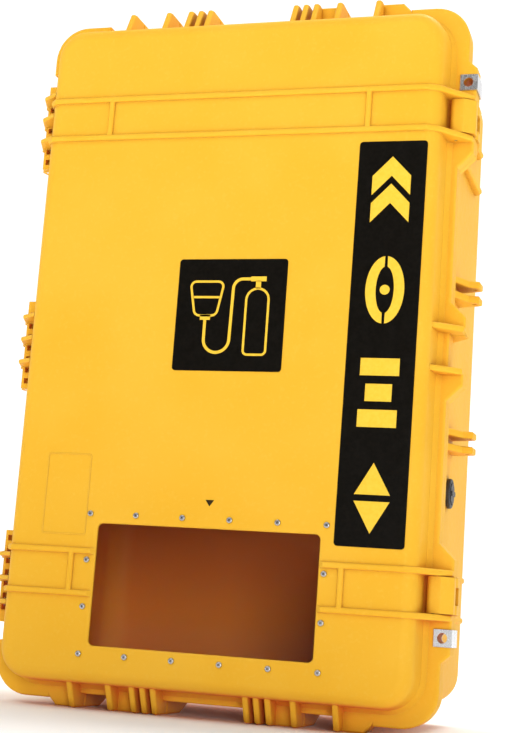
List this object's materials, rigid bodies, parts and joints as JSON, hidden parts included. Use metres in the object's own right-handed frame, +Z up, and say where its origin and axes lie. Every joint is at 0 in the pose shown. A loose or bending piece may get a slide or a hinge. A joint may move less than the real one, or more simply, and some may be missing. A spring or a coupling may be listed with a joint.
{
  "type": "breathing apparatus storage case",
  "caption": "Tall hard moulded storage case for a breathing set, with a hinged lid, a window, side latches, padlock eyes and a purge valve.",
  "frame": {"origin": "centre of the footprint on the floor, below the feet", "axes": "+Z up, -Y towards the viewer of the lid, +X the latch side, -X the hinge side"},
  "size_m": [0.5341, 0.32, 0.822],
  "materials": {
    "yellow_shell": "satin moulded, fine texture",
    "yellow_latch": "satin moulded",
    "black_plastic": "moulded, fine texture",
    "seal_rubber": "matte",
    "clear_pane": "clear sheet plastic",
    "steel_hardware": "bright",
    "plate_steel": "bright stainless sheet",
    "label_black": "satin printed film"
  },
  "bodies": {
    "base": {"base_shell": "yellow_shell", "base_flange": "yellow_shell", "base_ribs": "yellow_shell", "base_fins": "yellow_shell", "handle_ears": "yellow_shell", "base_padlock_inserts": "yellow_shell", "base_padlock_plates": "plate_steel", "hinge_pins": "steel_hardware", "purge_valve_washer": "seal_rubber", "purge_valve_body": "black_plastic", "purge_valve_nut": "black_plastic"},
    "valve_knob": {"purge_valve_knob": "black_plastic"},
    "lid": {"lid_shell": "yellow_shell", "lid_fins": "yellow_shell", "lid_padlock_inserts": "yellow_shell", "lid_seal": "seal_rubber", "lid_padlock_plates": "plate_steel", "window_gasket": "seal_rubber", "window_pane": "clear_pane", "window_screws": "steel_hardware", "window_washers": "steel_hardware", "window_nuts": "steel_hardware", "strip_label": "label_black", "symbol_label": "label_black", "upper_latch_pivot_pin": "steel_hardware", "lower_latch_pivot_pin": "steel_hardware"},
    "lower_claw": {"lower_latch_claw": "yellow_latch", "lower_latch_link_pin": "steel_hardware"},
    "lower_lever": {"lower_latch_lever": "yellow_latch"},
    "upper_claw": {"upper_latch_claw": "yellow_latch", "upper_latch_link_pin": "steel_hardware"},
    "upper_lever": {"upper_latch_lever": "yellow_latch"}
  },
  "joints": [
    {"name": "lid_hinge", "type": "hinge", "parent": "base", "child": "lid", "pos_m": [-0.2585, -0.097, 0.4135], "axis": [0, 0, -1], "range_deg": [0, 110]},
    {"name": "valve_turn", "type": "hinge", "parent": "base", "child": "valve_knob", "pos_m": [0.2404, -0.024, 0.266], "axis": [1, 0, 0], "range_deg": [0, 180]},
    {"name": "lower_claw_swing", "type": "hinge", "parent": "lid", "child": "lower_claw", "pos_m": [0.2475, -0.12, 0.14945], "axis": [0, 0, -1], "range_deg": [0, 95]},
    {"name": "lower_lever_lift", "type": "hinge", "parent": "lower_claw", "child": "lower_lever", "pos_m": [0.2598, -0.096, 0.14945], "axis": [0, 0, -1], "range_deg": [0, 50]},
    {"name": "upper_claw_swing", "type": "hinge", "parent": "lid", "child": "upper_claw", "pos_m": [0.2475, -0.12, 0.67755], "axis": [0, 0, -1], "range_deg": [0, 95]},
    {"name": "upper_lever_lift", "type": "hinge", "parent": "upper_claw", "child": "upper_lever", "pos_m": [0.2598, -0.096, 0.67755], "axis": [0, 0, -1], "range_deg": [0, 50]}
  ]
}
